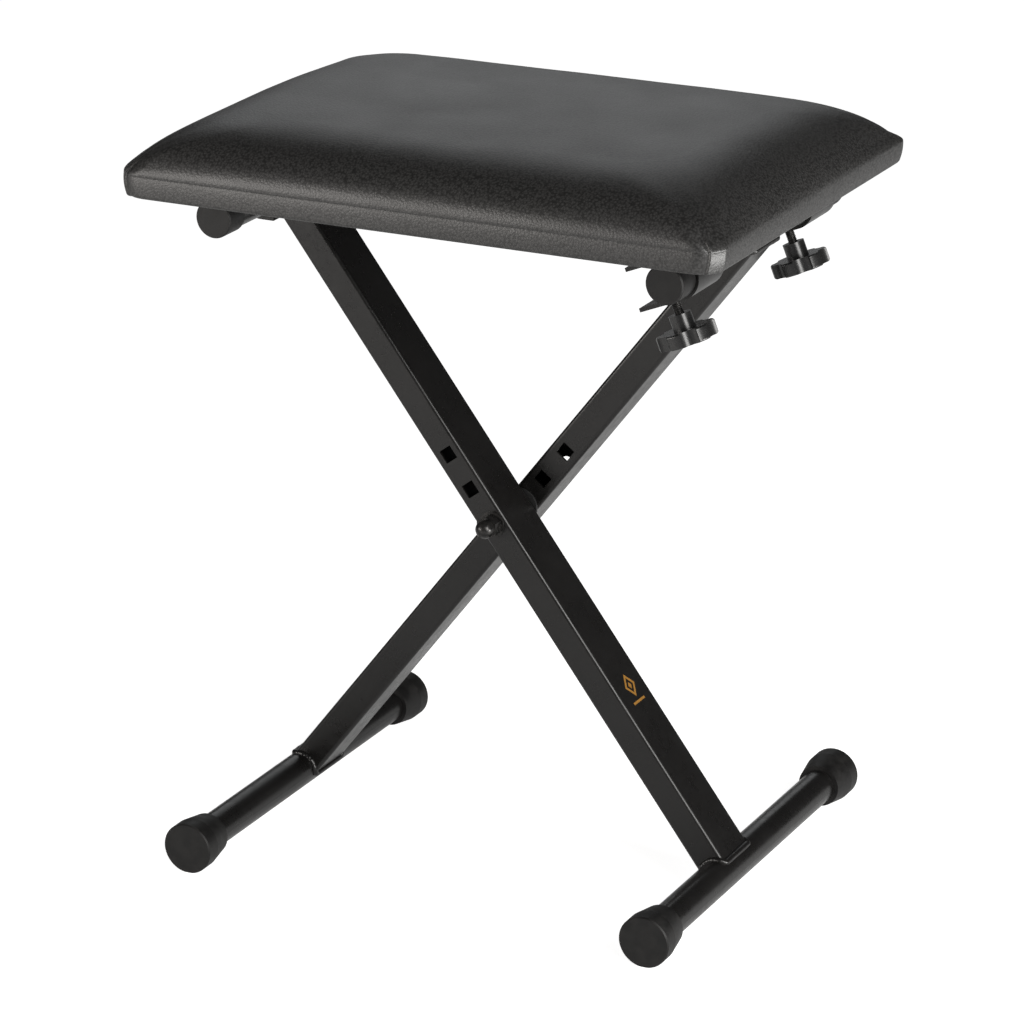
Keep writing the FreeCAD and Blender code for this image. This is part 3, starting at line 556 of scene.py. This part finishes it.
def coons_patch(ring, columns, rows):
    """Grid of points inside a ring whose sides have that many steps; rows run front to back."""
    front = ring[:columns + 1]
    right = ring[columns:columns + rows + 1]
    back = ring[columns + rows:2 * columns + rows + 1][::-1]
    left = np.r_[ring[2 * columns + rows:], ring[:1]][::-1]
    u = np.linspace(0, 1, columns + 1)[None, :, None]
    v = np.linspace(0, 1, rows + 1)[:, None, None]
    corners = ((1 - u) * (1 - v) * front[0] + u * (1 - v) * front[-1]
               + (1 - u) * v * back[0] + u * v * back[-1])
    return ((1 - v) * front + v * back + (1 - u) * left[:, None] + u * right[:, None]) - corners


def fill_ring(start, columns, rows, base, grid):
    """Faces and new points that close a ring of vertices, numbered from start, with a grid."""
    size = 2 * (columns + rows)
    number = {}
    fresh = []
    for row in range(rows + 1):
        for column in range(columns + 1):
            if row == 0:
                place = column
            elif column == columns:
                place = columns + row
            elif row == rows:
                place = 2 * columns + rows - column
            elif column == 0:
                place = size - row
            else:
                number[row, column] = base + len(fresh)
                fresh.append(grid[row, column])
                continue
            number[row, column] = start + place % size
    faces = [(number[r, c], number[r, c + 1], number[r + 1, c + 1], number[r + 1, c])
             for r in range(rows) for c in range(columns)]
    return faces, fresh


# Each corner's folded flap: its two edges as turns from the front or back edge, how far its flat
# middle stands proud, the width of the line at each edge, the line's depth beside the board and
# above it with the height it takes to deepen, and the heights where the flap fades.
FLAP_START = math.radians(37.0)
FLAP_END = math.radians(83.0)
FLAP_PROUD = mm(0.3)
FLAP_LINE_WIDTH = math.radians(2.6)
FLAP_LINE_DEPTHS = (mm(0.1), mm(1.0))
FLAP_LINE_DEEPENS = mm(2.0)
FLAP_FADE = (mm(17.0), mm(27.0))
# The foam's slow waves, with their two lengths and the second's share, and the height over which
# waves and pulls set in. The pulls at each corner, with their creases per full turn, offset and
# reach.
WAVE_SIZE = mm(0.35)
WAVE_LENGTHS = (mm(75.0), mm(30.0))
WAVE_SHARE = 0.4
WAVE_FADE = mm(12.0)
TENSION_SIZE = mm(0.35)
TENSION_CREASES = 17.0
TENSION_OFFSET = 1.3
TENSION_REACH = mm(32.0)


def smooth_step(value, low, high):
    """0 below low, 1 above high and smooth between."""
    share = np.clip((value - low) / (high - low), 0.0, 1.0)
    return share * share * (3 - 2 * share)


def corner_flaps(points, angles):
    """Folds the cover at each corner, from the hem up into the crown, with a line each side.

    The front corners' flaps are pulled flat, and the back ones follow the round of the corner.
    """
    fade = 1 - smooth_step(points[:, 2], *FLAP_FADE)
    flap = (smooth_step(angles, FLAP_START, FLAP_START + FLAP_LINE_WIDTH)
            - smooth_step(angles, FLAP_END - 3 * FLAP_LINE_WIDTH, FLAP_END))
    lines = sum(np.exp(-((angles - edge) / FLAP_LINE_WIDTH) ** 2)
                for edge in (FLAP_START - FLAP_LINE_WIDTH, FLAP_END))
    middle = (FLAP_START + FLAP_END) / 2
    off = np.clip(angles, FLAP_START, FLAP_END) - middle
    flat = ((CORNER_BASE + FLAP_PROUD) / np.cos(off) - CORNER_BASE) * (points[:, 1] < 0)
    shallow, deep = FLAP_LINE_DEPTHS
    deepening = smooth_step(points[:, 2], BAND_HEIGHT, BAND_HEIGHT + FLAP_LINE_DEEPENS)
    depth = shallow + (deep - shallow) * deepening
    push = (flat * flap - depth * lines) * fade
    outward = np.c_[np.sin(angles), np.cos(angles)] * np.sign(points[:, :2])
    points[:, :2] += outward * push[:, None]
    return points


def soft_undulation(points):
    """The slow unevenness of foam under a stretched cover, and pulls that fan from the corners."""
    out = points.copy()
    for n, point in enumerate(points):
        rise = max(0.0, min(1.0, (point[2] - SEAT_BASE - BAND_HEIGHT) / WAVE_FADE))
        if rise == 0.0:
            continue
        long, short = (noise.noise(Vector(point) / size) for size in WAVE_LENGTHS)
        slow = long + WAVE_SHARE * short
        corner = np.abs(point[:2]) - np.array(SEAT_HALF)
        reach = math.hypot(*corner)
        angle = math.atan2(corner[1], corner[0])
        creases = math.cos(angle * TENSION_CREASES + np.sign(point[0]) * TENSION_OFFSET)
        pull = creases * math.exp(-reach / TENSION_REACH)
        out[n, 2] += rise * (WAVE_SIZE * slow + TENSION_SIZE * pull)
    return out


def make_cushion():
    """Foam and its cover as one closed form: turned-in hem, band, crease and crown."""
    columns, rows = 2 * ARC_STEPS + LONG_STEPS, 2 * ARC_STEPS + SHORT_STEPS
    profile = cushion_profile()
    rings, angles = [], []
    for side_inset, front_inset, corner, side_height, front_height in profile:
        plan, angle = seat_ring(side_inset, front_inset, corner)
        upright = np.cos(angle) ** 2 * (plan[:, 1] < 0)
        rings.append(np.c_[plan, side_height + (front_height - side_height) * upright])
        angles.append(angle)
    size = len(rings[0])
    points = np.concatenate(rings)
    gap = np.linalg.norm(np.abs(points[:, :2]) - np.array(SEAT_HALF), axis=1)
    lift = np.clip((points[:, 2] - BAND_HEIGHT) / DROP_FADE, 0.0, 1.0)
    points[:, 2] -= CORNER_DROP * np.exp(-gap / CORNER_DROP_REACH) * lift
    points[:, 2] -= BACK_DROP * smooth_step(points[:, 1], 0.0, BACK_DROP_REACH) * lift
    outer = np.arange(len(points)) >= 2 * size
    points[outer] = corner_flaps(points[outer], np.concatenate(angles)[outer])

    faces = bridge(len(profile), size, closed=False)
    top = coons_patch(points[-size:], columns, rows)
    more, fresh = fill_ring((len(profile) - 1) * size, columns, rows, len(points), top)
    points = np.r_[points, np.array(fresh)]
    faces += more
    floor = coons_patch(points[:size], columns, rows)
    more, fresh = fill_ring(0, columns, rows, len(points), floor)
    points = np.r_[points, np.array(fresh)]
    faces += more
    points[:, 2] += SEAT_BASE
    flat = 1 - (points[:, :2] / (np.array(SEAT_HALF) - CROWN_REACH)) ** 2
    above = points[:, 2] > SEAT_BASE + BAND_HEIGHT + DOME_FROM
    points[:, 2] += DOME_RISE * np.prod(np.clip(flat, 0.0, None), axis=1) * above
    points = soft_undulation(points)
    cushion = new_piece("seat_cushion", points, faces, SLOTS["leatherette"])
    subdivide(cushion)
    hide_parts("seat_cover", "foam_pad")
    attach(cushion, "seat")


# ----------------------------------------------------------------------------------- lining
LINING_THICKNESS = mm(0.45)
LINING_GAP = mm(0.05)
LINING_STEPS = (70, 50)
# The slack's depth, its spots' size, and the height in the noise that it is read at.
LINING_SLACK = mm(0.22)
LINING_SLACK_SPOT = mm(55.0)
LINING_SLACK_LEVEL = 0.3


def make_lining():
    """The thin cloth stapled under the board, with a slight slack all over."""
    low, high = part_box("dust_cover")
    columns, rows = LINING_STEPS
    top = high.z - LINING_GAP
    points = []
    for layer in (top, top - LINING_THICKNESS):
        for row in range(rows + 1):
            for column in range(columns + 1):
                x = low.x + (high.x - low.x) * column / columns
                y = low.y + (high.y - low.y) * row / rows
                place = Vector((x, y, LINING_SLACK_LEVEL)) / LINING_SLACK_SPOT
                points.append((x, y, layer - abs(noise.noise(place) * LINING_SLACK)))
    across = columns + 1
    total = across * (rows + 1)
    faces = []
    for layer in range(2):
        for row in range(rows):
            for column in range(columns):
                first = layer * total + row * across + column
                faces.append((first, first + 1, first + across + 1, first + across))
    rim = (list(range(across)) + [columns + across * r for r in range(1, rows + 1)]
           + [across * rows + n for n in range(columns - 1, -1, -1)]
           + [across * r for r in range(rows - 1, 0, -1)])
    for n, start in enumerate(rim):
        after = rim[(n + 1) % len(rim)]
        faces.append((start, after, after + total, start + total))
    lining = new_piece("seat_lining", points, faces, SLOTS["lining_cloth"])
    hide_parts("dust_cover")
    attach(lining, "seat")


# ------------------------------------------------------------------------------- weld beads
PIVOT = Vector(frame_joint("frame_fold")["pos_m"])
LEG_HALF_WIDTH = mm(10.0)
LEG_CORNER = mm(2.5)
LEG_SIDE_STEPS = 30
LEG_CORNER_STEPS = 6
# A bead's radius, its ripples' height, spacing, sharpness and mean, and its slow unevenness.
WELD_RADIUS = mm(2.3)
WELD_RIPPLE = mm(0.28)
WELD_PITCH = mm(2.3)
WELD_SHARPNESS = 0.6
WELD_MEAN = 0.6
WELD_WOBBLE = 0.12
WELD_WOBBLE_SIZE = mm(5.0)
WELD_SECTION = 10
WELD_SEED_STEP = 7.3
# How squarely a bead's section turns the leg's corners.
WELD_SQUARENESS = 9


def leg_section(half_width, half_depth):
    """Outline of a leg tube across its length: a rectangle with small round corners."""
    points = []
    for side in range(4):
        along, out = ((half_width, half_depth), (half_depth, half_width))[side % 2]
        angle = math.pi / 2 * side
        for n in range(LEG_SIDE_STEPS):
            t = -along + LEG_CORNER + 2 * (along - LEG_CORNER) * n / LEG_SIDE_STEPS
            points.append((t * math.cos(angle) + out * math.sin(angle),
                           t * math.sin(angle) - out * math.cos(angle)))
        for n in range(LEG_CORNER_STEPS):
            turn = math.pi / 2 * n / LEG_CORNER_STEPS
            x = along - LEG_CORNER + LEG_CORNER * math.sin(turn)
            y = out - LEG_CORNER + LEG_CORNER * math.cos(turn)
            points.append((x * math.cos(angle) + y * math.sin(angle),
                           x * math.sin(angle) - y * math.cos(angle)))
    return points


def weld_bead(leg, bar, seed):
    """Rows of points of one rippled bead, where a leg's outline meets a round bar."""
    low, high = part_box(bar)
    axis = Vector(((low.x + high.x) / 2, 0.0, (low.z + high.z) / 2))
    radius = (high.z - low.z) / 2
    leg_low, leg_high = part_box(leg)
    middle = Vector((PIVOT.x, (leg_low.y + leg_high.y) / 2, PIVOT.z))
    inward = Vector((middle.x - axis.x, 0.0, middle.z - axis.z)).normalized()
    across = Vector((inward.z, 0.0, -inward.x))
    depth = (leg_high.y - leg_low.y) / 2
    outline = leg_section(LEG_HALF_WIDTH, depth)
    centre = []
    for u, v in outline:
        along = math.sqrt(max(radius ** 2 - u ** 2, 0.0))
        centre.append(axis + across * u + inward * along + Vector((0.0, middle.y + v, 0.0)))
    length = 0.0
    rings = []
    for n, point in enumerate(centre):
        after = centre[(n + 1) % len(centre)]
        before = centre[n - 1]
        tangent = (after - before).normalized()
        u, v = outline[n]
        outward = (across * (u / LEG_HALF_WIDTH) ** WELD_SQUARENESS
                   + Vector((0.0, (v / depth) ** WELD_SQUARENESS, 0.0)))
        outward = (outward - tangent * outward.dot(tangent)).normalized()
        side = tangent.cross(outward).normalized()
        ripple = abs(math.sin(math.pi * length / WELD_PITCH)) ** WELD_SHARPNESS
        wobble = noise.noise(Vector((length / WELD_WOBBLE_SIZE, seed, 0.0)))
        size = WELD_RADIUS * (1 + WELD_WOBBLE * wobble) + WELD_RIPPLE * (ripple - WELD_MEAN)
        ring = []
        for k in range(WELD_SECTION):
            turn = 2 * math.pi * k / WELD_SECTION
            ring.append(point + outward * size * math.cos(turn) + side * size * math.sin(turn))
        rings.append(ring)
        length += (after - point).length
    return rings


def make_welds(name, leg, bars, body):
    """The two beads of one leg, as one piece."""
    points, faces = [], []
    for n, bar in enumerate(bars):
        rings = weld_bead(leg, bar, n * WELD_SEED_STEP)
        base = len(points)
        for ring in rings:
            points += ring
        faces += [tuple(base + corner for corner in face)
                  for face in bridge(len(rings), WELD_SECTION, closed=True)]
    welds = new_piece(name, points, faces, SLOTS["frame_paint"])
    subdivide(welds)
    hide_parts(leg + "_welds")
    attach(welds, body)


# ------------------------------------------------------------------------------ clamp studs
THREAD_PITCH = mm(1.0)
# Depth that the thread would have if its crest were sharp, and the width of its flat crest as a
# share of the pitch.
THREAD_DEPTH = mm(0.55)
THREAD_CREST = 0.12
THREAD_STEPS = 32
THREAD_ROWS_PER_TURN = 10
# Length and depth of the chamfer at each end.
THREAD_CHAMFER = (mm(0.8), mm(0.5))


def make_stud(side):
    """A threaded stud in place of the plain CAD rod."""
    node = "clamp_stud_" + side
    low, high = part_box(node)
    radius = (high.y - low.y) / 2
    axis = Vector(frame_joint(side + "_screw_travel")["axis"]).normalized()
    across = Vector((0.0, 1.0, 0.0))
    third = axis.cross(across)
    middle = (low + high) / 2
    span = Vector((high.x - low.x, 0.0, high.z - low.z)).length
    half = math.sqrt(max((span / 2) ** 2 - radius ** 2, 0.0))
    chamfer_length, chamfer_depth = THREAD_CHAMFER
    rows = int(2 * half / THREAD_PITCH * THREAD_ROWS_PER_TURN)
    points = []
    for row in range(rows + 1):
        along = -half + 2 * half * row / rows
        end = min(1.0, (half - abs(along)) / chamfer_length)
        for n in range(THREAD_STEPS):
            angle = 2 * math.pi * n / THREAD_STEPS
            phase = (along / THREAD_PITCH + n / THREAD_STEPS) % 1.0
            notch = max(0.0, abs(phase - 0.5) * 2 - THREAD_CREST)
            size = radius - THREAD_DEPTH * notch - chamfer_depth * (1 - end)
            points.append(middle + axis * along
                          + (across * math.cos(angle) + third * math.sin(angle)) * size)
    faces = bridge(rows + 1, THREAD_STEPS, closed=False)
    faces.append(tuple(range(THREAD_STEPS))[::-1])
    faces.append(tuple(rows * THREAD_STEPS + n for n in range(THREAD_STEPS)))
    stud = new_piece("threaded_stud_" + side, points, faces, SLOTS["black_hardware"])
    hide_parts(node)
    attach(stud, side + "_clamp_screw")


# ------------------------------------------------------------------------------- leg's mark
MARK_ALONG_LEG = mm(135.0)
MARK_SIZE = mm(9.0)
MARK_LINE = mm(1.5)
MARK_LIFT = mm(0.06)
# Outlines in units of MARK_SIZE, across the leg and up it.
MARK_MIDDLE = 0.25
MARK_DIAMOND = ((0.0, 1.15), (0.72, MARK_MIDDLE), (0.0, -0.65), (-0.72, MARK_MIDDLE))
MARK_CORE = 0.3
MARK_BAR = ((-0.85, -1.1), (0.85, -1.1), (0.85, -0.92), (-0.85, -0.92))


def shrunk(outline, share):
    """The mark's outline made smaller about its middle."""
    return [(x * share, MARK_MIDDLE + (y - MARK_MIDDLE) * share) for x, y in outline]


def make_mark():
    """A plain gold diamond over a bar, printed on the front leg's upper face."""
    low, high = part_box("front_leg")
    bar_low, bar_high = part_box("right_foot_bar")
    foot = Vector(((bar_low.x + bar_high.x) / 2, 0.0, (bar_low.z + bar_high.z) / 2))
    down = (foot - PIVOT).normalized()
    out = Vector((-down.z, 0.0, down.x))
    centre = PIVOT + down * MARK_ALONG_LEG + out * (LEG_HALF_WIDTH + MARK_LIFT)
    centre.y = (low.y + high.y) / 2
    side = Vector((0.0, 1.0, 0.0))
    points, faces = [], []

    def place(outline):
        """Adds an outline's points and gives the number of the first."""
        first = len(points)
        points.extend(centre + side * x * MARK_SIZE - down * y * MARK_SIZE for x, y in outline)
        return first

    place(MARK_DIAMOND)
    place(shrunk(MARK_DIAMOND, 1 - MARK_LINE / MARK_SIZE * 2))
    faces += bridge(2, len(MARK_DIAMOND), closed=False)
    for outline in (shrunk(MARK_DIAMOND, MARK_CORE), MARK_BAR):
        first = place(outline)
        faces.append(tuple(range(first, first + len(outline))))
    mark = new_piece("leg_mark", points, faces, gold_print(), smooth=False)
    modifier = mark.modifiers.new("ink", "SOLIDIFY")
    modifier.thickness = MARK_LIFT
    modifier.offset = 0.0
    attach(mark, "front_frame")


dress_cad_nodes()
make_cushion()
make_lining()
make_welds("front_weld_beads", "front_leg", ("right_foot_bar", "left_top_bar"), "front_frame")
make_welds("rear_weld_beads", "rear_leg", ("left_foot_bar", "right_top_bar"), "rear_frame")
for side in ("front", "back"):
    make_stud(side)
make_mark()
make_floor()
make_world()
for name, light in LIGHTS.items():
    make_light(name, *light)
make_camera()
bpy.context.scene.view_settings.view_transform = "Standard"
